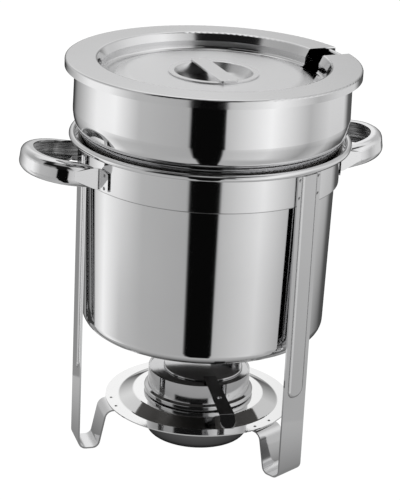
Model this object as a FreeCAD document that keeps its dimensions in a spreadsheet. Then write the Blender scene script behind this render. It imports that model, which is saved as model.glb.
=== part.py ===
import FreeCAD, Part
import Sketcher
import os

# Buffet soup kettle: a soup inset in a water pan, hung in the collar of a three-legged stand over a
# fuel burner. Millimetres, +Z up, origin on the pot's axis at the floor, handles along X.

V = FreeCAD.Vector
doc = FreeCAD.newDocument("soup_kettle")

# Driving sizes
sizes = doc.addObject("Spreadsheet::Sheet", "Sizes")
SIZES = {
    "pot_sheet": 1.0,          # sheet of pan, inset and lid
    "stand_sheet": 1.5,        # strip of legs, collar and handles
    "burner_sheet": 0.8,       # sheet of the burner's cup, ring and cap
    "seat_gap": 0.3,           # play between a piece and the seat it lifts off
    "weld_gap": 0.05,          # film between two pieces that are welded face to face
    "spot_round": 2.4,         # spot weld marks: radius of the electrode's round tip, and how deep it sinks
    "spot_depth": 0.6,
    "rim_lap": 0.6,            # share of a rolled rim's radius that lies outside the sheet's edge
    "tool_run": 5.0,           # a cutting tool runs out this far past the piece
    # water pan
    "pan_radius": 107.9,       # outside of the wall at the mouth
    "pan_draft": 2.7,          # radius lost from mouth to base
    "pan_base": 109.5,         # height of the base above the floor
    "pan_corner": 11.5,
    "pan_flange": 8.0,         # width of the flange between wall and rolled rim
    "pan_flange_rise": 4.7,
    "pan_neck_bend": 4.0,
    "pan_rim": 2.7,            # radius of the rolled rim
    # collar of the stand
    "collar_top": 273.5,
    "collar_depth": 27.0,
    "collar_gap": 1.4,         # play between pan wall and collar
    # soup inset
    "inset_play": 6.9,         # play between the lower wall and the pan's mouth
    "inset_bulge": 17.5,       # the upper wall stands this far out over the lower one
    "inset_shoulder": 35.0,    # height of the sloping shoulder
    "inset_height": 343.4,     # top of the rolled rim above the floor
    "inset_taper": 0.9,        # radius lost from the bulge to the rim
    "inset_rim": 2.4,
    "inset_corner": 16.0,
    "inset_neck_bend": 9.0,
    "inset_bulge_bend": 34.0,
    "water_space": 14.0,       # from the pan's floor to the inset's base
    # lid
    "lid_overhang": 7.5,       # rim edge beyond the widest of the inset
    "lid_skirt": 7.4,
    "lid_edge_bend": 1.8,
    "lid_rim_width": 26.4,
    "lid_step_drop": 7.0,
    "lid_step_in": 3.6,
    "lid_recess": 16.0,
    "lid_wall_in": 0.6,
    "lid_floor_bend": 3.0,
    "lid_rim_bend": 2.0,
    "lid_crown": 5.4,          # the floor rises this much towards the dish
    "crown_flat": 40.0,        # level ring round the dish
    "crown_bend": 14.0,
    "dish_radius": 34.0,
    "dish_flange": 4.4,
    "dish_depth": 9.5,
    "dish_edge_bend": 1.5,
    "dish_bowl_bend": 9.0,
    "dish_wall_in": 7.0,
    "grip_width": 15.0,
    "grip_angle": 94.0,
    "grip_corner": 2.5,
    "grip_inset": 0.5,         # ends short of the dish's edge
    "grip_spot_in": 3.2,       # weld mark from the end of the strap
    "notch_width": 24.0,
    "notch_depth": 37.0,       # from the rim's edge inwards
    "notch_angle": 9.6,
    "notch_corner": 3.0,
    # legs
    "leg_width": 28.0,
    "leg_head": 1.0,           # top of the leg below the collar's top
    "leg_bend": 8.0,
    "foot_bend": 7.0,
    "weld_bend": 7.0,
    "foot_length": 18.6,       # flat of the foot along the floor, bends included
    "return_lean": 7.0,
    "return_lap": 10.5,        # lap of the return under the shelf
    "bead_width": 18.0,
    "bead_height": 1.3,
    "bead_slope": 55.0,        # flank of the bead, degrees off the press direction
    "bead_start": 74.5,        # lower end of the bead above the floor
    "bead_corner": 7.5,
    "leg_spot_side": 11.4,     # weld marks: off the leg's middle, below the collar's top, apart
    "leg_spot_drop": 4.0,
    "leg_spot_pitch": 15.2,
    # burner shelf
    "shelf_height": 36.8,
    "shelf_plateau": 12.3,     # width of the ring round the hole
    "shelf_slope": 12.6,       # width of the slope round that ring
    "shelf_clear": 29.6,       # from the shelf's edge to the outside of the legs
    "shelf_step": 5.7,
    "shelf_bend": 3.0,
    "shelf_spot_side": 9.0,    # weld marks over each leg's return
    "shelf_spot_in": 5.2,
    # burner
    "cup_radius": 45.0,
    "cup_base": 5.0,
    "cup_height": 60.6,
    "cup_corner": 4.5,
    "cup_bead": 3.2,           # the stop bead stands this far out
    "cup_bead_height": 5.8,
    "cup_bead_slope": 1.0,
    "cup_bead_bend": 1.0,
    "hole_play": 0.8,
    "ring_drop": 0.7,
    "ring_play": 0.1,
    "ring_edge": 0.2,          # edge of the ring below the edge of the cup
    "flame_radius": 30.0,
    "cap_radius": 35.0,
    "cap_height": 1.7,
    "cap_bend": 1.2,
    "cap_shift_x": 3.7,
    "cap_shift_y": 0.5,
    "cap_handle_angle": -95.5,
    "cap_handle_start": 30.0,
    "cap_handle_reach": 107.0,
    "cap_handle_sheet": 1.2,
    "cap_handle_width": 12.8,
    "cap_handle_taper": 2.0,   # narrower at the cap by this much
    "cap_tab": 9.0,
    "cap_tab_bend": 2.5,
    "cap_tab_round": 5.0,
    "cap_hole_radius": 2.3,
    "cap_hole_place": 75.0,
    "tin_play": 2.4,
    "tin_height": 50.0,
    "tin_mouth": 33.0,
    "tin_sheet": 0.6,
    # handles
    "handle_left_angle": 180.0,
    "handle_right_angle": 9.0,
    "handle_length": 53.0,     # from the collar to the outside of the grip
    "handle_half_width": 39.5,
    "handle_height": 19.5,
    "handle_lip": 9.5,
    "handle_lip_bend": 6.0,
    "handle_tilt": 8.6,
    "handle_centre": 257.5,
    "handle_foot_angle": 23.5,
    "handle_foot_width": 11.0,
    "handle_foot_bend": 2.5,
    "handle_foot_height": 17.6,
    "handle_foot_corner": 1.8,
    "handle_flat": 5.0,        # flat end of the grip before its edges start to curl
    "handle_lip_taper": 16.0,  # length over which they curl in
    "handle_spot_in": 6.0,     # weld marks on the foot: from its bend, apart
    "handle_spot_pitch": 11.0,
    "handle_loop_bend": 38.0,
}
for row, (alias, value) in enumerate(SIZES.items(), 1):
    sizes.set("A%d" % row, alias)
    sizes.set("B%d" % row, str(value))
    sizes.setAlias("B%d" % row, alias)
doc.recompute()


def size(alias):
    """The number in one named cell."""
    return float(sizes.get(alias))


# Lengths that several pieces share, worked out from the driving sizes
pan_r = "Sizes.pan_radius"
collar_in = f"({pan_r} + Sizes.collar_gap)"
collar_out = f"({collar_in} + Sizes.stand_sheet)"
inset_lower = f"({pan_r} - Sizes.pot_sheet - Sizes.inset_play)"
inset_upper = f"({inset_lower} + Sizes.inset_bulge)"
lid_r = f"({inset_upper} + Sizes.lid_overhang)"
lid_top = "(Sizes.inset_height + Sizes.seat_gap + Sizes.pot_sheet)"
lid_inner = f"({lid_r} - Sizes.lid_rim_width)"
lid_floor = f"({lid_top} - Sizes.lid_recess)"
lid_crown_top = f"({lid_floor} + Sizes.lid_crown)"
dish_top = f"({lid_crown_top} + Sizes.weld_gap + Sizes.pot_sheet)"
plateau_r = "(Sizes.cup_radius + Sizes.hole_play + Sizes.shelf_plateau)"
slope_r = f"({plateau_r} + Sizes.shelf_slope)"
plateau_top = "(Sizes.shelf_height + Sizes.shelf_step)"
leg_in = f"(sqrt({collar_out} ^ 2 - (Sizes.bead_width / 2) ^ 2) + Sizes.weld_gap)"
leg_out = f"({leg_in} + Sizes.stand_sheet)"
shelf_r = f"({leg_out} - Sizes.shelf_clear)"
leg_top = "(Sizes.collar_top - Sizes.leg_head)"
cup_rim = "(Sizes.cup_base + Sizes.cup_height)"
cup_in = "(Sizes.cup_radius - Sizes.burner_sheet)"
ring_top = f"({cup_rim} - Sizes.ring_drop)"
cap_top = f"({ring_top} + Sizes.seat_gap + Sizes.cap_height)"

PLANES = {
    "XY": FreeCAD.Rotation(),
    "XZ": FreeCAD.Rotation(V(1, 0, 0), 90),
    "YZ": FreeCAD.Rotation(V(1, 1, 1), 120),
}
# sign that makes an offset in each plane go to the left of a line's direction
LEFT = {"XY": "-", "XZ": "", "YZ": "-"}


def place_corner(sketch, name, line, end, x, y):
    """Hold one end of a sketch line at the coordinates that two expressions give."""
    for axis, kind, expression in ((-2, "DistanceX", x), (-1, "DistanceY", y)):
        if expression == "0":
            sketch.addConstraint(Sketcher.Constraint("PointOnObject", line, end, axis))
            continue
        number = sketch.addConstraint(Sketcher.Constraint(kind, -1, 1, line, end, 1.0))
        sketch.renameConstraint(number, f"{name}_{kind}")
        sketch.setExpression(f"Constraints.{name}_{kind}", expression)


def profile(name, plane, corners, closed=False):
    """Sketch through corners (x, y, bend): expressions for the place, an alias for the bend's radius."""
    sketch = doc.addObject("Sketcher::SketchObject", name)
    sketch.Placement = FreeCAD.Placement(V(), PLANES[plane])
    count = len(corners)
    lines = count if closed else count - 1
    for i in range(lines):
        # a rough first place, which the constraints below then correct
        here = V(10 + 7 * i, 5 + 3 * i * i, 0)
        there = V(17 + 7 * i, 5 + 3 * (i + 1) ** 2, 0)
        sketch.addGeometry(Part.LineSegment(here, there))
    for i in range(1, lines):
        sketch.addConstraint(Sketcher.Constraint("Coincident", i - 1, 2, i, 1))
    if closed:
        sketch.addConstraint(Sketcher.Constraint("Coincident", lines - 1, 2, 0, 1))
    for i, (x, y, bend) in enumerate(corners):
        line, end = (i, 1) if i < lines else (i - 1, 2)
        place_corner(sketch, f"corner{i}", line, end, x, y)
    doc.recompute()
    for i, (x, y, bend) in enumerate(corners):
        if bend is None:
            continue
        before, after = (i - 1) % lines, i
        ends = sketch.Geometry[before], sketch.Geometry[after]
        near = 0.4 * ends[0].StartPoint + 0.6 * ends[0].EndPoint
        far = 0.6 * ends[1].StartPoint + 0.4 * ends[1].EndPoint
        arc = sketch.GeometryCount
        sketch.fillet(before, after, near, far, size(bend), True, True)
        number = sketch.addConstraint(Sketcher.Constraint("Radius", arc, size(bend)))
        sketch.renameConstraint(number, f"bend{i}")
        sketch.setExpression(f"Constraints.bend{i}", f"Sizes.{bend}")
    doc.recompute()
    return sketch


def sheet_face(name, plane, corners, thickness):
    """Face between a line of corners and its parallel at the sheet's thickness, to the left if positive."""
    face = doc.addObject("Part::Offset2D", name)
    face.Source = profile(f"{name}_line", plane, corners)
    face.setExpression("Value", f"{LEFT[plane]}({thickness})")
    face.Mode = "Skin"
    face.Join = "Intersection"
    face.Fill = True
    return face


def spin(name, face):
    """Turn a face once round the pot's axis."""
    turned = doc.addObject("Part::Revolution", name)
    turned.Source = face
    turned.Base = V()
    turned.Axis = V(0, 0, 1)
    turned.Angle = 360
    turned.Solid = True
    return turned


def spun_sheet(name, corners, thickness):
    """Sheet piece of revolution from the corners of one of its surfaces."""
    return spin(f"{name}_spun", sheet_face(f"{name}_face", "XZ", corners, thickness))


def extrude(name, base, direction, length, symmetric=False):
    """Straight extrusion of a sketch or face."""
    solid = doc.addObject("Part::Extrusion", name)
    solid.Base = base
    solid.DirMode = "Custom"
    solid.Dir = direction
    solid.setExpression("LengthFwd", length)
    solid.Solid = True
    solid.Symmetric = symmetric
    return solid


def rolled_rim(name, radius, half_width, height):
    """Rolled rim: a ring of round section on the edge of a pot."""
    ring = doc.addObject("Part::Torus", name)
    ring.setExpression("Radius1", radius)
    ring.setExpression("Radius2", half_width)
    ring.setExpression("Placement.Base.z", height)
    return ring


def fuse(label, pieces):
    joined = doc.addObject("Part::MultiFuse", label)
    joined.Shapes = pieces
    joined.Refine = True
    return joined


def cut(label, base, tool):
    rest = doc.addObject("Part::Cut", label)
    rest.Base = base
    rest.Tool = tool
    return rest


def weld_spot(name, place, lean="rotation(0; 0; 0)"):
    """Round electrode tip for the mark of a spot weld, its lowest point at a place."""
    spot = doc.addObject("Part::Sphere", name)
    spot.setExpression("Radius", "Sizes.spot_round")
    raised = "placement(vector(0; 0; Sizes.spot_round); rotation(0; 0; 0))"
    spot.setExpression("Placement", f"placement({place}; {lean}) * {raised}")
    return spot


def turn(piece, angle):
    """Turn a finished piece about the pot's axis."""
    piece.setExpression("Placement", f"placement(vector(0; 0; 0); rotation(vector(0; 0; 1); {angle}))")
    return piece


nodes = {}

# Collar: a plain hoop that the pan's flange hangs over
collar_foot = "(Sizes.collar_top - Sizes.collar_depth)"
collar_face = profile("collar_face", "XZ", [
    (collar_in, collar_foot, None),
    (collar_out, collar_foot, None),
    (collar_out, "Sizes.collar_top", None),
    (collar_in, "Sizes.collar_top", None),
], closed=True)
nodes["stand_collar"] = spin("stand_collar", collar_face)

# Shelf: a raised plateau round the burner's hole, a slope and a flat outer ring over the legs' returns
LEGS = {"leg_left": "180", "leg_front": "-60", "leg_rear": "60"}
shelf_body = spun_sheet("burner_shelf", [
    ("Sizes.cup_radius + Sizes.hole_play", plateau_top, None),
    (plateau_r, plateau_top, "shelf_bend"),
    (slope_r, "Sizes.shelf_height", "shelf_bend"),
    (shelf_r, "Sizes.shelf_height", None),
], "-Sizes.pot_sheet")
shelf_spots = []
for angle in LEGS.values():
    for side in ("-", ""):
        along, across = f"({shelf_r} - Sizes.shelf_spot_in)", f"({side}Sizes.shelf_spot_side)"
        x = f"{along} * cos({angle} deg) - {across} * sin({angle} deg)"
        y = f"{along} * sin({angle} deg) + {across} * cos({angle} deg)"
        place = f"vector({x}; {y}; Sizes.shelf_height - Sizes.spot_depth)"
        shelf_spots.append(weld_spot(f"shelf_spot{len(shelf_spots)}", place))
nodes["burner_shelf"] = cut("burner_shelf", shelf_body, fuse("shelf_spots", shelf_spots))


def leg(label, angle):
    """Pressed strip: down from the collar, along the floor, up again and in under the shelf."""
    under = "(Sizes.shelf_height - Sizes.pot_sheet - Sizes.weld_gap - Sizes.stand_sheet)"
    foot_in = f"({leg_out} - Sizes.foot_length)"
    run_out = f"({leg_top} + Sizes.tool_run)"
    strip_face = sheet_face(f"{label}_face", "XZ", [
        (leg_out, run_out, None),
        (leg_out, "0", "leg_bend"),
        (foot_in, "0", "foot_bend"),
        (f"{foot_in} - Sizes.return_lean", under, "weld_bend"),
        (f"{shelf_r} - Sizes.return_lap", under, None),
    ], "-Sizes.stand_sheet")
    strip = extrude(f"{label}_strip", strip_face, V(0, 1, 0), "Sizes.leg_width", symmetric=True)
    # the bead is pressed outwards, so its back is hollow
    half = "Sizes.bead_width / 2"
    bead_line = profile(f"{label}_bead_line", "YZ", [
        (f"-{half}", "Sizes.bead_start", "bead_corner"),
        (half, "Sizes.bead_start", "bead_corner"),
        (half, run_out, None),
        (f"-{half}", run_out, None),
    ], closed=True)
    pressings = []
    for part, face in (("bead", leg_out), ("hollow", leg_in)):
        pressing = extrude(f"{label}_{part}", bead_line, V(1, 0, 0), "Sizes.bead_height")
        pressing.setExpression("TaperAngle", "-Sizes.bead_slope")
        pressing.setExpression("Placement.Base.x", face)
        pressings.append(pressing)
    pressed = fuse(f"{label}_pressed", [strip, pressings[0]])
    hollow = cut(f"{label}_hollow_back", pressed, pressings[1])
    # the strip is cropped after pressing
    crop = doc.addObject("Part::Box", f"{label}_crop")
    crop.setExpression("Length", "2 * Sizes.leg_width")
    crop.setExpression("Width", "2 * Sizes.leg_width")
    crop.setExpression("Height", "2 * Sizes.tool_run")
    crop.setExpression("Placement.Base.x", f"{leg_in} - Sizes.leg_width")
    crop.setExpression("Placement.Base.y", "-Sizes.leg_width")
    crop.setExpression("Placement.Base.z", leg_top)
    first = f"({leg_top} + Sizes.leg_head - Sizes.leg_spot_drop)"
    spots = []
    for side in ("-", ""):
        for below in ("0", "Sizes.leg_spot_pitch"):
            place = f"vector({leg_out} - Sizes.spot_depth; {side}Sizes.leg_spot_side; {first} - {below})"
            spots.append(weld_spot(f"{label}_spot{len(spots)}", place, "rotation(0; 90; 0)"))
    return turn(cut(label, hollow, fuse(f"{label}_trimming", [crop] + spots)), angle)


for label, angle in LEGS.items():
    nodes[label] = leg(label, angle)


def handle(label, angle):
    """Strip bent into a loop, its edges curled in along the grip, with a foot welded on at each end."""
    half = "Sizes.handle_half_width"
    foot_plane = f"({collar_out} + Sizes.weld_gap + Sizes.stand_sheet)"
    slant = "Sizes.handle_foot_angle"
    foot_x = f"(({foot_plane} - {half} * sin({slant})) / cos({slant}))"
    top, lip = "Sizes.handle_height / 2", f"(Sizes.handle_lip - {half})"
    reach = f"({collar_out} + Sizes.handle_length)"
    section = sheet_face(f"{label}_section", "YZ", [
        (lip, top, None),
        (f"-{half}", top, "handle_lip_bend"),
        (f"-{half}", f"-{top}", "handle_lip_bend"),
        (lip, f"-{top}", None),
    ], "Sizes.stand_sheet")
    section.Source.setExpression("Placement.Base.x", foot_x)
    path = profile(f"{label}_path", "XY", [
        (foot_x, f"-{half}", None),
        (reach, f"-{half}", "handle_loop_bend"),
        (reach, half, "handle_loop_bend"),
        (foot_x, half, None),
    ])
    loop = doc.addObject("Part::Sweep", f"{label}_loop")
    loop.Sections = [section]
    loop.Spine = (path, [f"Edge{i + 1}" for i in range(5)])
    loop.Solid = True
    loop.Frenet = False
    # the curled edges run out towards the feet
    web = f"({half} - Sizes.stand_sheet)"
    curl = f"({half} - Sizes.handle_lip - Sizes.stand_sheet)"
    first = f"({foot_x} + Sizes.handle_flat)"
    last = f"({first} + Sizes.handle_lip_taper)"
    behind = f"({foot_x} - Sizes.tool_run)"
    relief_line = profile(f"{label}_relief_line", "XY", [
        (behind, f"-{web}", None),
        (first, f"-{web}", None),
        (last, f"-{curl}", None),
        (last, curl, None),
        (first, web, None),
        (behind, web, None),
    ], closed=True)
    relief = extrude(f"{label}_relief", relief_line, V(0, 0, 1), "Sizes.handle_height + Sizes.tool_run",
                     symmetric=True)
    tilted = cut(f"{label}_tilted", loop, relief)
    rise = f"Sizes.handle_centre - {foot_x} * sin(Sizes.handle_tilt)"
    shift = f"{foot_x} * (1 - cos(Sizes.handle_tilt))"
    lean = "rotation(vector(0; -1; 0); Sizes.handle_tilt)"
    tilted.setExpression("Placement", f"placement(vector({shift}; 0; {rise}); {lean})")
    foot_end = f"({foot_x} - Sizes.handle_foot_width * sin({slant}))"
    foot_face = sheet_face(f"{label}_foot_face", "XY", [
        (last, f"-{half}", None),
        (foot_x, f"-{half}", "handle_foot_bend"),
        (foot_end, f"-{half} - Sizes.handle_foot_width * cos({slant})", None),
    ], "-Sizes.stand_sheet")
    sheet = extrude(f"{label}_foot_sheet", foot_face, V(0, 0, 1), "2 * Sizes.handle_height", symmetric=True)
    sheet.setExpression("Placement.Base.z", "Sizes.handle_centre")
    # side view of the flat end: level with the sloping grip, narrowing into it, and down along the foot
    slope = "tan(Sizes.handle_tilt)"
    tall = "(Sizes.handle_foot_height / 2)"
    slim = "(Sizes.handle_height / 2 - Sizes.handle_lip_bend)"
    low = f"(Sizes.handle_centre - Sizes.handle_foot_width * {slope})"
    mid = f"(Sizes.handle_centre + Sizes.handle_flat * {slope})"
    high = f"(Sizes.handle_centre + (Sizes.handle_flat + Sizes.handle_lip_taper) * {slope})"
    side_line = profile(f"{label}_side_line", "XZ", [
        (foot_end, f"{low} - {tall}", "handle_foot_corner"),
        (foot_x, f"Sizes.handle_centre - {tall}", None),
        (first, f"{mid} - {tall}", None),
        (last, f"{high} - {slim}", None),
        (last, f"{high} + {slim}", None),
        (first, f"{mid} + {tall}", None),
        (foot_x, f"Sizes.handle_centre + {tall}", None),
        (foot_end, f"{low} + {tall}", "handle_foot_corner"),
    ], closed=True)
    side_blank = extrude(f"{label}_side_blank", side_line, V(0, 1, 0), f"4 * {half}", symmetric=True)
    shaped_foot = doc.addObject("Part::Common", f"{label}_shaped_foot")
    shaped_foot.Base = sheet
    shaped_foot.Tool = side_blank
    inward = f"(Sizes.handle_spot_in * sin({slant}) + Sizes.spot_depth * cos({slant}))"
    sideways = f"(Sizes.handle_spot_in * cos({slant}) - Sizes.spot_depth * sin({slant}))"
    spot_mid = f"(Sizes.handle_centre - Sizes.handle_spot_in * {slope})"
    spots = []
    for way in ("-", "+"):
        height = f"{spot_mid} {way} Sizes.handle_spot_pitch / 2"
        place = f"vector({foot_x} - {inward}; -{half} - {sideways}; {height})"
        spots.append(weld_spot(f"{label}_spot{len(spots)}", place, f"rotation(-{slant}; 90; 0)"))
    foot = cut(f"{label}_foot", shaped_foot, fuse(f"{label}_spots", spots))
    other = doc.addObject("Part::Mirroring", f"{label}_other_foot")
    other.Source = foot
    other.Normal = V(0, 1, 0)
    return turn(fuse(label, [tilted, foot, other]), angle)


nodes["handle_left"] = handle("handle_left", "Sizes.handle_left_angle")
nodes["handle_right"] = handle("handle_right", "Sizes.handle_right_angle")

# Water pan: the bend of its mouth lies on the collar's top edge, round a centre at bend_x, bend_z
flange_slope = "(Sizes.pan_flange_rise / Sizes.pan_flange)"
bend_x = f"({pan_r} + Sizes.pan_neck_bend)"
bend_z = ("(Sizes.collar_top - sqrt((Sizes.pan_neck_bend - Sizes.seat_gap) ^ 2"
          " - (Sizes.pan_neck_bend - Sizes.collar_gap) ^ 2))")
neck = f"({bend_z} + Sizes.pan_neck_bend * tan(45 deg - atan({flange_slope}) / 2))"
pan_body = spun_sheet("water_pan", [
    ("0", "Sizes.pan_base", None),
    (f"{pan_r} - Sizes.pan_draft", "Sizes.pan_base", "pan_corner"),
    (pan_r, neck, "pan_neck_bend"),
    (f"{pan_r} + Sizes.pan_flange", f"{neck} + Sizes.pan_flange_rise", None),
], "Sizes.pot_sheet")
pan_rim = rolled_rim("water_pan_rim", f"{pan_r} + Sizes.pan_flange + Sizes.rim_lap * Sizes.pan_rim",
                     "Sizes.pan_rim",
                     f"{neck} + Sizes.pan_flange_rise + Sizes.pot_sheet / 2")
nodes["water_pan"] = fuse("water_pan", [pan_body, pan_rim])

# Soup inset: the slope of its shoulder rests in the bend of the pan's mouth
slope = "(Sizes.inset_bulge / Sizes.inset_shoulder)"
stand_off = f"((Sizes.pan_neck_bend + Sizes.pot_sheet + Sizes.seat_gap) * sqrt(1 + {slope} ^ 2))"
shoulder = f"({bend_z} - ({bend_x} - {inset_lower} - {stand_off}) / {slope})"
inset_base = "(Sizes.pan_base + Sizes.pot_sheet + Sizes.water_space)"
inset_edge = "(Sizes.inset_height - Sizes.inset_rim)"
inset_body = spun_sheet("soup_inset", [
    ("0", inset_base, None),
    (inset_lower, inset_base, "inset_corner"),
    (inset_lower, shoulder, "inset_neck_bend"),
    (inset_upper, f"{shoulder} + Sizes.inset_shoulder", "inset_bulge_bend"),
    (f"{inset_upper} - Sizes.inset_taper", inset_edge, None),
], "Sizes.pot_sheet")
inset_rim = rolled_rim("soup_inset_rim",
                       f"{inset_upper} - Sizes.inset_taper + Sizes.rim_lap * Sizes.inset_rim",
                       "Sizes.inset_rim", inset_edge)
nodes["soup_inset"] = fuse("soup_inset", [inset_body, inset_rim])

# Lid: flat rim, stepped recess and domed floor, cut through at the side for a ladle
dish_hole = "(Sizes.dish_radius + Sizes.weld_gap)"
lid_body = spun_sheet("lid_shell", [
    (dish_hole, lid_crown_top, None),
    ("Sizes.dish_radius + Sizes.crown_flat", lid_crown_top, "crown_bend"),
    (f"{lid_inner} - Sizes.lid_step_in - Sizes.lid_wall_in", lid_floor, "lid_floor_bend"),
    (f"{lid_inner} - Sizes.lid_step_in", f"{lid_top} - Sizes.lid_step_drop", None),
    (lid_inner, lid_top, "lid_rim_bend"),
    (lid_r, lid_top, "lid_edge_bend"),
    (lid_r, f"{lid_top} - Sizes.lid_skirt", None),
], "-Sizes.pot_sheet")
notch_in = f"({lid_r} - Sizes.notch_depth)"
notch_out = f"({lid_r} + Sizes.tool_run)"
notch_line = profile("notch_line", "XY", [
    (notch_in, "-Sizes.notch_width / 2", "notch_corner"),
    (notch_out, "-Sizes.notch_width / 2", None),
    (notch_out, "Sizes.notch_width / 2", None),
    (notch_in, "Sizes.notch_width / 2", "notch_corner"),
], closed=True)
notch = extrude("notch", notch_line, V(0, 0, 1), "2 * Sizes.lid_recess")
notch.setExpression("Placement", f"placement(vector(0; 0; {lid_floor} - Sizes.lid_recess / 2); "
                    "rotation(vector(0; 0; 1); Sizes.notch_angle))")
nodes["lid_shell"] = cut("lid_shell", lid_body, notch)

# Finger dish let into the lid's floor, and the strap across it
nodes["grip_dish"] = spun_sheet("grip_dish", [
    ("0", f"{dish_top} - Sizes.dish_depth", None),
    ("Sizes.dish_radius - Sizes.pot_sheet - Sizes.dish_wall_in", f"{dish_top} - Sizes.dish_depth",
     "dish_bowl_bend"),
    ("Sizes.dish_radius - Sizes.pot_sheet", dish_top, "dish_edge_bend"),
    ("Sizes.dish_radius + Sizes.dish_flange", dish_top, None),
], "-Sizes.pot_sheet")
grip_half = "(Sizes.dish_radius + Sizes.dish_flange - Sizes.grip_inset)"
grip_line = profile("grip_line", "XY", [
    (f"-{grip_half}", "-Sizes.grip_width / 2", "grip_corner"),
    (grip_half, "-Sizes.grip_width / 2", "grip_corner"),
    (grip_half, "Sizes.grip_width / 2", "grip_corner"),
    (f"-{grip_half}", "Sizes.grip_width / 2", "grip_corner"),
], closed=True)
strap = extrude("lid_grip_strap", grip_line, V(0, 0, 1), "Sizes.stand_sheet")
spots = []
for side in ("-", ""):
    place = f"vector({side}({grip_half} - Sizes.grip_spot_in); 0; Sizes.stand_sheet - Sizes.spot_depth)"
    spots.append(weld_spot(f"lid_grip_spot{len(spots)}", place))
lid_grip = cut("lid_grip", strap, fuse("lid_grip_spots", spots))
lid_grip.setExpression("Placement", f"placement(vector(0; 0; {dish_top} + Sizes.weld_gap); "
                       "rotation(vector(0; 0; 1); Sizes.grip_angle))")
nodes["lid_grip"] = lid_grip

# Burner cup: its stop bead rests on the shelf's plateau
bead_low = f"({plateau_top} + Sizes.seat_gap - Sizes.hole_play * Sizes.cup_bead_slope / Sizes.cup_bead)"
bead_high = f"({bead_low} + Sizes.cup_bead_height)"
bead_r = "(Sizes.cup_radius + Sizes.cup_bead)"
nodes["fuel_cup"] = spun_sheet("fuel_cup", [
    ("0", "Sizes.cup_base", None),
    ("Sizes.cup_radius", "Sizes.cup_base", "cup_corner"),
    ("Sizes.cup_radius", bead_low, None),
    (bead_r, f"{bead_low} + Sizes.cup_bead_slope", "cup_bead_bend"),
    (bead_r, f"{bead_high} - Sizes.cup_bead_slope", "cup_bead_bend"),
    ("Sizes.cup_radius", bead_high, None),
    ("Sizes.cup_radius", cup_rim, None),
], "Sizes.burner_sheet")

# Flame ring: sunk in the cup's mouth round the flame opening
ring_wall = f"({cup_in} - Sizes.ring_play - Sizes.burner_sheet)"
nodes["flame_ring"] = spun_sheet("flame_ring", [
    ("Sizes.flame_radius", ring_top, None),
    (ring_wall, ring_top, None),
    (ring_wall, f"{cup_rim} - Sizes.ring_edge", None),
], "-Sizes.burner_sheet")

# Fuel tin: stands on the cup's floor, open at the top
tin_base = "(Sizes.cup_base + Sizes.burner_sheet + Sizes.seat_gap)"
tin_r = f"({cup_in} - Sizes.tin_play)"
nodes["fuel_tin"] = spun_sheet("fuel_tin", [
    ("0", tin_base, None),
    (tin_r, tin_base, None),
    (tin_r, f"{tin_base} + Sizes.tin_height", None),
    ("Sizes.tin_mouth", f"{tin_base} + Sizes.tin_height", None),
], "Sizes.tin_sheet")

# Snuffer: a shallow cap on the flame ring, pushed a little aside, with a strap handle on top
snuffer_cap = spun_sheet("snuffer_cap", [
    ("0", cap_top, None),
    ("Sizes.cap_radius", cap_top, "cap_bend"),
    ("Sizes.cap_radius", f"{ring_top} + Sizes.seat_gap", None),
], "-Sizes.burner_sheet")
cap_place = "vector(Sizes.cap_shift_x; Sizes.cap_shift_y; 0)"
cap_turn = "rotation(vector(0; 0; 1); Sizes.cap_handle_angle)"
snuffer_cap.setExpression("Placement", f"placement({cap_place}; {cap_turn})")
nodes["snuffer_cap"] = snuffer_cap
strap_top = f"({cap_top} + Sizes.weld_gap + Sizes.cap_handle_sheet)"
strap_end = "(Sizes.cap_handle_reach + Sizes.cap_tab)"
strap_face = sheet_face("cap_handle_face", "XZ", [
    ("Sizes.cap_handle_start", strap_top, None),
    ("Sizes.cap_handle_reach", strap_top, "cap_tab_bend"),
    (strap_end, f"{strap_top} - Sizes.cap_tab", None),
], "-Sizes.cap_handle_sheet")
strap = extrude("cap_handle_strap", strap_face, V(0, 1, 0), "2 * Sizes.cap_handle_width", symmetric=True)
narrow = "(Sizes.cap_handle_width - Sizes.cap_handle_taper) / 2"
outline = profile("cap_handle_outline", "XY", [
    ("Sizes.cap_handle_start", f"-{narrow}", None),
    (strap_end, "-Sizes.cap_handle_width / 2", "cap_tab_round"),
    (strap_end, "Sizes.cap_handle_width / 2", "cap_tab_round"),
    ("Sizes.cap_handle_start", narrow, None),
], closed=True)
blank = extrude("cap_handle_blank", outline, V(0, 0, 1), f"{strap_top} + Sizes.tool_run")
shaped = doc.addObject("Part::Common", "cap_handle_shaped")
shaped.Base = strap
shaped.Tool = blank
hole = doc.addObject("Part::Cylinder", "cap_handle_hole")
hole.setExpression("Radius", "Sizes.cap_hole_radius")
hole.setExpression("Height", f"{strap_top} + Sizes.tool_run")
hole.setExpression("Placement.Base.x", "Sizes.cap_hole_place")
cap_handle = cut("cap_handle", shaped, hole)
cap_handle.setExpression("Placement", f"placement({cap_place}; {cap_turn})")
nodes["cap_handle"] = cap_handle

doc.recompute()
for item in doc.Objects:
    if "Invalid" in item.State or "Error" in item.State:
        raise RuntimeError("not rebuilt: " + item.Label)
os.makedirs("parts", exist_ok=True)
for label, item in nodes.items():
    shape = item.Shape
    if shape.isNull() or not shape.isValid() or len(shape.Solids) != 1:
        raise RuntimeError("not one valid solid: " + label)
    item.Label = label
    shape.exportStep("parts/" + label + ".step")
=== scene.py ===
import math
from collections import namedtuple

import bpy
import numpy as np
from mathutils import Matrix, Vector

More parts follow.
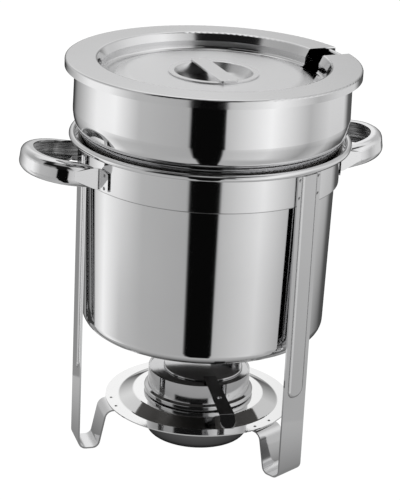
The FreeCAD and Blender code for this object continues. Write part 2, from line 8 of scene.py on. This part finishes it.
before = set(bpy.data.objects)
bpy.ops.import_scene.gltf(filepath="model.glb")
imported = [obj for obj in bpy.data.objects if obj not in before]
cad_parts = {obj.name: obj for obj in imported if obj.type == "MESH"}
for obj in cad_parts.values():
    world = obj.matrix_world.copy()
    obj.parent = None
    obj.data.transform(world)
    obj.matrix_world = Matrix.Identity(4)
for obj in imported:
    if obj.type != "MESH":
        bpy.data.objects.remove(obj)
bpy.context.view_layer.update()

# Stand collar: the hoop that the water pan hangs in, rolled from stainless strip. Wheel polishing
# leaves fine lines round it, and a dark line of painted shade runs along its lower edge, where it
# meets the pan. The legs and the handles are spot welded to it.

STEEL = (0.80, 0.80, 0.805)
SMEARED = 0.94                      # brightness of smeared steel against clean steel
SMEAR_SCALE = 23.0                  # smears in a metre
SMEAR_DULLNESS = 0.03               # roughness that the smears add
LINE_DULLNESS = 0.035               # roughness that the polishing lines add
LINE_DEPTH = 0.0004                 # metres, of which the bump takes LINE_STRENGTH
LINE_STRENGTH = 0.012
RING_STEPS = 1600.0                 # polishing rings in a metre
RING_TURN = 1.5                     # slow change of a ring along its turn
STRIP_POLISH = 0.035                # roughness of polished strip under its lines and smears
COLLAR_EDGE = 0.2466, 0.2474        # heights in metres between which the line of painted shade ends
EDGE_SHADE = (0.25, 0.25, 0.25, 1)
EDGE_DULLNESS = 0.3


class Signal:
    """One value in a node tree. Arithmetic on signals adds Math nodes to that tree."""

    def __init__(self, tree, socket=None):
        self.tree = tree
        self.socket = socket

    def add(self, kind, inputs=None, output=0, stops=(), **settings):
        """Add a node of a kind, set it up, feed its inputs and hand back one of its outputs.

        stops are a colour ramp's pairs of position and grey level, in rising order.
        """
        node = self.tree.nodes.new("ShaderNode" + kind)
        for name, value in settings.items():
            setattr(node, name, value)
        if stops:
            elements = node.color_ramp.elements
            while len(elements) < len(stops):
                elements.new(0.5)
            for element, (position, level) in zip(elements, stops):
                element.position = position
                element.color = (level, level, level, 1)
        for name, value in (inputs or {}).items():
            if isinstance(value, Signal):
                self.tree.links.new(value.socket, node.inputs[name])
            else:
                node.inputs[name].default_value = value
        return Signal(self.tree, node.outputs[output]) if node.outputs else None

    def math(self, operation, first, second=0.0):
        return self.add("Math", {0: first, 1: second}, operation=operation)

    def __add__(self, other):
        return self.math("ADD", self, other)

    def __radd__(self, other):
        return self.math("ADD", other, self)

    def __sub__(self, other):
        return self.math("SUBTRACT", self, other)

    def __rsub__(self, other):
        return self.math("SUBTRACT", other, self)

    def __mul__(self, other):
        return self.math("MULTIPLY", self, other)

    def __rmul__(self, other):
        return self.math("MULTIPLY", other, self)

    def __truediv__(self, other):
        return self.math("DIVIDE", self, other)

    def __rtruediv__(self, other):
        return self.math("DIVIDE", other, self)

    def __pow__(self, other):
        return self.math("POWER", self, other)

    def __rpow__(self, other):
        return self.math("POWER", other, self)


def split(place):
    """The three coordinates of a place, as signals."""
    node = place.add("SeparateXYZ", {"Vector": place}).socket.node
    return [Signal(place.tree, socket) for socket in node.outputs]


def join(x, y, z):
    """A vector from three signals."""
    return x.add("CombineXYZ", {"X": x, "Y": y, "Z": z})


def distance(x, y):
    """Distance from the axis: the root of x squared plus y squared."""
    return (x * x + y * y) ** 0.5


def ramp_up(value, low, high):
    """0 below low, 1 above high, straight between."""
    return value.add("MapRange", {"Value": value, "From Min": low, "From Max": high})


def mixed(factor, first, second):
    """The first colour where factor is 0, the second where it is 1."""
    return factor.add("Mix", {"Factor": factor, "A": first, "B": second}, output="Result",
                      data_type="RGBA")


def feed(shader, name, signal):
    """Lead a signal to one of the shader's inputs."""
    signal.tree.links.new(signal.socket, shader.inputs[name])


# a material, its shader and the signals that its later changes start from
Finish = namedtuple("Finish", "material shader place lines colour dullness")


def steel(name, colour, roughness, streaks):
    """Polished stainless steel. streaks(place) is a vector with fine steps across the lines.

    lines = noise of streaks(place), smears = coarse noise of place,
    roughness = base + lines * LINE_DULLNESS + smears * SMEAR_DULLNESS,
    colour = base, going to SMEARED times itself with the smears.
    """
    material = bpy.data.materials.new(name)
    material.use_nodes = True
    shader = material.node_tree.nodes["Principled BSDF"]
    shader.inputs["Metallic"].default_value = 1.0
    place = Signal(material.node_tree).add("TexCoord", output="Object")
    lines = place.add("TexNoise", {"Vector": streaks(place), "Scale": 1.0, "Detail": 3.0,
                                   "Roughness": 0.6})
    smears = place.add("TexNoise", {"Vector": place, "Scale": SMEAR_SCALE, "Detail": 4.0,
                                    "Roughness": 0.55})
    dullness = roughness + lines * LINE_DULLNESS + smears * SMEAR_DULLNESS
    feed(shader, "Roughness", dullness)
    feed(shader, "Normal", place.add("Bump", {"Height": lines, "Strength": LINE_STRENGTH,
                                              "Distance": LINE_DEPTH}))
    smeared = [channel * SMEARED for channel in colour]
    shade = mixed(smears, (*colour, 1), (*smeared, 1))
    feed(shader, "Base Color", shade)
    return Finish(material, shader, place, lines, shade, dullness)


def turned(finish, factor, colour, added_dullness=None):
    """Let a finish turn to another colour, and a duller one if asked, where factor is 1."""
    shade = mixed(factor, finish.colour, colour)
    feed(finish.shader, "Base Color", shade)
    dullness = finish.dullness
    if added_dullness:
        dullness = dullness + factor * added_dullness
        feed(finish.shader, "Roughness", dullness)
    return finish._replace(colour=shade, dullness=dullness)


def dress(finish, *names):
    """Give CAD nodes a finish."""
    for name in names:
        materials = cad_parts[name].data.materials
        materials.clear()
        materials.append(finish.material)


def rings(place):
    """Lines round the pot's axis: fine steps across radius and height, slow ones along the turn."""
    x, y, z = split(place)
    return join(distance(x, y) * RING_STEPS, z * RING_STEPS, y.math("ARCTAN2", y, x) * RING_TURN)


collar = steel("polished_collar", STEEL, STRIP_POLISH, rings)
# painted shade: a dark line along the collar's lower edge, where it meets the pan
painted_edge_shade = 1.0 - ramp_up(split(collar.place)[2], *COLLAR_EDGE)
dress(turned(collar, painted_edge_shade, EDGE_SHADE, EDGE_DULLNESS), "stand_collar")

# Legs: three strips of stainless, pressed with a long bead, bent to a foot and back under the shelf
# and spot welded to the collar. They were belt polished along their length, and their colour is
# darkened as painted shade in tight hollows: the weld marks and the foot of the bead.

STRIP_STEPS = 1400.0                # belt lines in a metre across a strip
STRIP_ALONG = 25.0                  # their slow change along it
HOLLOW_REACH = 0.0015               # metres within which another face makes a hollow
HOLLOW_OPEN = 0.91, 0.985           # how open the surface is, from fully shaded to unshaded
HOLLOW_SHADE = (0.02, 0.02, 0.02, 1)


def strip_lines(place):
    """Lines up and down a strip: fine steps sideways, slow ones along the height."""
    x, y, z = split(place)
    return join(x * STRIP_STEPS, y * STRIP_STEPS, z * STRIP_ALONG)


def painted_hollow_shade(place):
    """1 in tight hollows, where painted shade darkens the colour, 0 elsewhere."""
    opened = place.add("AmbientOcclusion", {"Distance": HOLLOW_REACH}, output="AO",
                       only_local=True, samples=16)
    return 1.0 - ramp_up(opened, *HOLLOW_OPEN)


legs = steel("polished_strip", STEEL, STRIP_POLISH, strip_lines)
# painted shade in the legs' tight hollows
dress(turned(legs, painted_hollow_shade(legs.place), HOLLOW_SHADE), "leg_left", "leg_front", "leg_rear")

# Burner shelf: a round stepped plate with a hole for the burner, pressed from brighter stainless
# sheet and spot welded onto the legs' returns.

SHELF_STEEL = (0.93, 0.93, 0.93)

dress(steel("polished_hoop", SHELF_STEEL, STRIP_POLISH, rings), "burner_shelf")

# Handles: loops of stainless strip with edges curled inwards, spot welded to the collar by two flat
# feet. They are polished, and inside the loop their colour is darkened as painted shade, in dark
# and light streaks along the strip, and they are duller there.

GRIP_STEPS = 900.0                  # drawing lines in a metre across the strip
GRIP_ALONG = 30.0                   # their slow change along the loop
LOOP_MIDDLE = 0.125                 # metres from the pot's axis to the middle of a loop
FACING_IN = -0.55, -0.25            # how the surface faces that middle, from inside to outside
INSIDE_STREAKS = 0.38, 0.62            # noise levels of a dark and of a light streak
INSIDE_SHADE_DARK = (0.14, 0.14, 0.14, 1)
INSIDE_SHADE_LIGHT = (0.55, 0.55, 0.55, 1)
INSIDE_DULLNESS = 0.16


def grip_lines(place):
    """Lines round a handle: fine steps across its height, slow ones along the loop."""
    x, y, z = split(place)
    return join(x * GRIP_ALONG, y * GRIP_ALONG, z * GRIP_STEPS)


def handle_steel(name, angle):
    """Strip for a loop at an angle in degrees round the pot, with painted shade inside the loop.

    inside = where the normal points back along the way out from the loop's middle, seen from above.
    """
    finish = steel(name, STEEL, STRIP_POLISH, grip_lines)
    # painted shade in the handle's tight hollows
    finish = turned(finish, painted_hollow_shade(finish.place), HOLLOW_SHADE)
    x, y, _ = split(finish.place)
    out_x = x - LOOP_MIDDLE * math.cos(math.radians(angle))
    out_y = y - LOOP_MIDDLE * math.sin(math.radians(angle))
    facing_x, facing_y, _ = split(finish.place.add("TexCoord", output="Normal"))
    outward = (facing_x * out_x + facing_y * out_y) / distance(out_x, out_y)
    inside = 1.0 - ramp_up(outward, *FACING_IN)
    # painted shade inside the loop, in dark and light streaks
    painted_inside_shade = mixed(ramp_up(finish.lines, *INSIDE_STREAKS), INSIDE_SHADE_DARK, INSIDE_SHADE_LIGHT)
    return turned(finish, inside, painted_inside_shade, INSIDE_DULLNESS)


dress(handle_steel("handle_left_steel", 180), "handle_left")
dress(handle_steel("handle_right_steel", 9), "handle_right")

# Water pan: the outer pot, deep drawn from stainless sheet, with a flanged and rolled rim that rests
# on the collar. It was spun and mirror polished, which leaves hardly visible rings round the wall.
# Its underside and its neck inside the flange are duller, and darkened as painted shade.

MIRROR_POLISH = 0.02
UNDERSIDE = 0.1103, 0.1125          # heights in metres between which the shaded underside ends
NECK_FOOT = 0.2708, 0.2728          # heights in metres between which the shaded neck starts
NECK_EDGE = 0.1117, 0.1131          # radii in metres between which it ends
PAN_SHADE = (0.16, 0.155, 0.15, 1)
PAN_SHADE_DULLNESS = 0.30

pan = steel("mirror_pan", STEEL, MIRROR_POLISH, rings)
x, y, height = split(pan.place)
# painted shade on the pan's underside and in its neck, where the inset sits
shaded_underside = 1.0 - ramp_up(height, *UNDERSIDE)
shaded_neck = ramp_up(height, *NECK_FOOT) * (1.0 - ramp_up(distance(x, y), *NECK_EDGE))
dress(turned(pan, shaded_underside + shaded_neck, PAN_SHADE, PAN_SHADE_DULLNESS), "water_pan")

# Soup inset: the food pot, drawn from the same sheet and mirror polished, with a rolled rim. It is
# wider above a shoulder that sits in the water pan's mouth.

dress(steel("mirror_pot", STEEL, MIRROR_POLISH, rings), "soup_inset")

# Lid: pressed from stainless sheet, with a flat rim that lies on the inset, a stepped recess and a
# notch for the ladle. The rim is polished, and the floor of the recess has a soft satin polish.

LID_POLISH = 0.08
FLOOR_EDGE = 0.0805, 0.0845         # radii in metres between which the satin floor ends
SATIN = (0.79, 0.79, 0.795, 1)
SATIN_DULLNESS = 0.24

lid = steel("satin_lid", STEEL, LID_POLISH, rings)
x, y, _ = split(lid.place)
satin = 1.0 - ramp_up(distance(x, y), *FLOOR_EDGE)
dress(turned(lid, satin, SATIN, SATIN_DULLNESS), "lid_shell")

# Finger dish: a round dish let into the lid's floor and welded there, so that the fingers reach
# under the strap. It is pressed from the same sheet and satin polished.

DISH_POLISH = 0.23

dress(steel("satin_dish", STEEL, DISH_POLISH, rings), "grip_dish")

# Lid grip: a flat strap of stainless across the dish, spot welded to its flange. It is polished on
# top, and underneath it is duller and darkened as painted shade.

FACING_DOWN = -0.6, -0.3            # upward part of the normal, from underside to edge
STRAP_SHADE = (0.04, 0.04, 0.04, 1)
STRAP_SHADE_DULLNESS = 0.25

strap = steel("strap_steel", STEEL, LID_POLISH, strip_lines)
facing_up = split(strap.place.add("TexCoord", output="Normal"))[2]
# painted shade on the strap's underside
shaded_strap_below = 1.0 - ramp_up(facing_up, *FACING_DOWN)
dress(turned(strap, shaded_strap_below, STRAP_SHADE, STRAP_SHADE_DULLNESS), "lid_grip")

# Burner: a drawn cup whose stop bead rests on the shelf, a dished flame ring welded in its mouth and
# a loose snuffer cap on the ring. The steel is the stand's, darkened as painted shade.

BURNER_SHADE = (0.62, 0.62, 0.625)
BURNER_POLISH = 0.05

# painted shade: the burner's colour is darkened
burner = steel("burner_steel", BURNER_SHADE, BURNER_POLISH, rings)
dress(burner, "fuel_cup", "flame_ring", "snuffer_cap")

# Cap handle: a flat strap with a hole and a bent thumb tab, welded onto the snuffer cap. It reaches
# past the flame, and its colour is darkened most, as painted shade and painted dark reflection.

LEVER_SHADE = (0.30, 0.30, 0.305)
LEVER_POLISH = 0.06

# painted shade and painted dark reflection: the lever's colour is darkened
dress(steel("lever_steel", LEVER_SHADE, LEVER_POLISH, strip_lines), "cap_handle")

# Fuel tin: a plain open can for gel fuel, drawn from tin plate, that stands loose on the floor of
# the cup. Its plating is duller and a little warmer than the steel round it.

TIN_PLATE = (0.70, 0.70, 0.69)
TIN_POLISH = 0.22

dress(steel("tin_plate", TIN_PLATE, TIN_POLISH, rings), "fuel_tin")

# Floor: white paper, lit mostly from within so that it comes out white, with a soft shadow. The
# metal doesn't mirror the paper itself: it mirrors the lowest row of the panels in the next section,
# and above it a round card with the kettle's own shadow, which only reflections see.

TABLE = 0.50                        # brightness of the paper in the metal, away from the shadow
CARD_POINTS = 48
FLOOR_RADIUS = 8.0
PAPER = (0.9, 0.9, 0.9, 1)
PAPER_GLOW = 1.07
GLOW_SHARE = 0.94
SHADOW_RADIUS = 0.20
SHADOW_CORE = 0.02                  # metres from the axis to which the shadow is black
SHADOW_HEIGHT = 0.0004


def stage_disc(name, radius, height):
    """Flat round card: points at (radius cos t, radius sin t, height), with an empty material."""
    turns = np.linspace(0, 2 * math.pi, CARD_POINTS, endpoint=False)
    points = np.stack([radius * np.cos(turns), radius * np.sin(turns),
                       np.full(CARD_POINTS, height)], axis=1)
    mesh = bpy.data.meshes.new(name)
    mesh.from_pydata(points.tolist(), [], [list(range(CARD_POINTS))])
    card = bpy.data.objects.new(name, mesh)
    bpy.context.scene.collection.objects.link(card)
    material = bpy.data.materials.new(name)
    material.use_nodes = True
    material.node_tree.nodes.clear()
    mesh.materials.append(material)
    return card, Signal(material.node_tree)


floor, paper = stage_disc("floor", FLOOR_RADIUS, 0.0)
floor.visible_glossy = False
matt = paper.add("BsdfDiffuse", {"Color": PAPER})
shine = paper.add("Emission", {"Color": (1, 1, 1, 1), "Strength": PAPER_GLOW})
paper.add("OutputMaterial",
          {"Surface": paper.add("MixShader", {"Fac": GLOW_SHARE, 1: matt, 2: shine})})

shadow, card = stage_disc("shadow", SHADOW_RADIUS, SHADOW_HEIGHT)
shadow.visible_camera = False
shadow.visible_diffuse = False
shadow.visible_shadow = False
x, y, _ = split(card.add("TexCoord", output="Object"))
level = card.add("MapRange", {"Value": distance(x, y), "From Min": SHADOW_CORE,
                              "From Max": SHADOW_RADIUS, "To Max": TABLE},
                 interpolation_type="SMOOTHSTEP")
dim = card.add("Emission", {"Color": join(level, level, level), "Strength": 1.0})
card.add("OutputMaterial", {"Surface": dim})

# Panels: the studio round the kettle, which the metal mirrors and which lights it. White panels
# stand in rows from the table to overhead, with a black gap where the camera stands and dark flags
# at the back. The camera itself sees plain white.

CAMERA_TURN = -107.11               # degrees round the axis from +X to the camera
GAP = 0.003                         # brightness of the black gap
FLAG = 0.02                         # brightness of the flags overhead
TABLE_ROW = -0.75, -0.66            # sine of a sight line's height where the rows change over
LOW_ROW = -0.41, -0.25
HIGH_ROW = -0.10, 0.40
TOP_ROW = 0.72, 0.86

world = bpy.data.worlds.new("studio")
bpy.context.scene.world = world
world.use_nodes = True
world.node_tree.nodes.clear()
studio = Signal(world.node_tree)
x, y, z = split(studio.add("TexCoord", output="Generated"))
turn = y.math("ARCTAN2", y, x) * math.degrees(1) - CAMERA_TURN
around = studio.math("FRACT", turn * (1 / 360) + 0.5)


def panels(levels):
    """A row from pairs of degrees and brightness: 0 degrees at the camera, minus to its left."""
    stops = [(angle / 360 + 0.5, level) for angle, level in levels]
    return around.add("ValToRGB", {"Fac": around}, output="Color", stops=stops)


beside = panels([(-180, 0.04), (-160, 0.05), (-148, 0.34), (-128, 0.66), (-108, 1.05), (-85, 1.12),
                 (-60, 0.58), (-17.4, 0.47), (-16, GAP), (11.2, GAP), (12.4, 0.60), (50, 1.15),
                 (88, 0.55), (112, 0.78), (138, 0.78), (150, 0.12), (180, 0.04)])
low = panels([(-180, 0.03), (-160, 0.04), (-148, 0.34), (-128, 0.60), (-108, 1.12), (-85, 0.62),
              (-60, 0.51), (-16.4, 0.46), (-15.2, GAP), (9.8, GAP), (11, 0.55), (50, 0.80),
              (88, 0.38), (112, 0.60), (138, 0.15), (150, 0.08), (180, 0.03)])
above = panels([(-180, 1.0), (-168, 0.90), (-150, 0.68), (-120, 0.52), (-90, 0.44), (-56, 0.48),
                (-51, 0.01), (22, 0.01), (26, 0.60), (60, 1.05), (105, 0.85), (130, 0.60),
                (150, 0.60), (166, 0.60), (180, 1.0)])
overhead = panels([(-180, 1.0), (-100, 0.9), (-72, FLAG), (-32, FLAG), (-22, 0.40), (22, 0.40),
                   (32, FLAG), (72, FLAG), (100, 0.9), (180, 1.0)])
table = panels([(-180, TABLE), (-13.5, TABLE), (-12.5, GAP), (10, GAP), (11, TABLE), (180, TABLE)])

lower = mixed(ramp_up(z, *LOW_ROW), low, beside)
upper = mixed(ramp_up(z, *TOP_ROW), above, overhead)
surround = mixed(ramp_up(z, *TABLE_ROW), table, mixed(ramp_up(z, *HIGH_ROW), lower, upper))
seen = mixed(studio.add("LightPath", output="Is Camera Ray"), surround, (1, 1, 1, 1))
studio.add("OutputWorld",
           {"Surface": studio.add("Background", {"Color": seen, "Strength": 1.0})})

# Softbox: a large soft lamp above and to the left, for the soft shadow under the feet. The metal
# doesn't mirror it.

SOFTBOX_WATTS = 12.0
SOFTBOX_SIDE = 0.9
SOFTBOX_PLACE = Vector((-0.4, 0.2, 1.9))
SOFTBOX_AIM = Vector((0, 0, 0.2))

softbox = bpy.data.lights.new("softbox", "AREA")
softbox.energy = SOFTBOX_WATTS
softbox.size = SOFTBOX_SIDE
lamp = bpy.data.objects.new("softbox", softbox)
lamp.location = SOFTBOX_PLACE
lamp.rotation_euler = (SOFTBOX_AIM - SOFTBOX_PLACE).to_track_quat("-Z", "Y").to_euler()
lamp.visible_glossy = False
bpy.context.scene.collection.objects.link(lamp)

# Camera: a long lens a little above the lid, to the left of the front, held with a slight roll.
# Its place and angles come from the ellipses of the rims and from the feet.

EYE = Vector((-0.4489, -1.4438, 0.7301))
ELEVATION = math.radians(20.167)
AZIMUTH = math.radians(17.11)
ROLL = math.radians(2.78)
SENSOR_WIDTH = 36.0
FOCAL_LENGTH = 166.9
FARTHEST = 50.0

forward = Vector((math.sin(AZIMUTH) * math.cos(ELEVATION),
                  math.cos(AZIMUTH) * math.cos(ELEVATION), -math.sin(ELEVATION)))
sideways = Vector((math.cos(AZIMUTH), -math.sin(AZIMUTH), 0))
upward = sideways.cross(forward)
right = math.cos(ROLL) * sideways + math.sin(ROLL) * upward
top = math.cos(ROLL) * upward - math.sin(ROLL) * sideways
view = Matrix((right, top, -forward)).transposed().to_4x4()
view.translation = EYE
lens = bpy.data.cameras.new("camera")
lens.sensor_fit = "HORIZONTAL"
lens.sensor_width = SENSOR_WIDTH
lens.lens = FOCAL_LENGTH
lens.clip_end = FARTHEST
camera = bpy.data.objects.new("camera", lens)
camera.matrix_world = view
bpy.context.scene.collection.objects.link(camera)
bpy.context.scene.camera = camera
bpy.context.scene.view_settings.view_transform = "Standard"
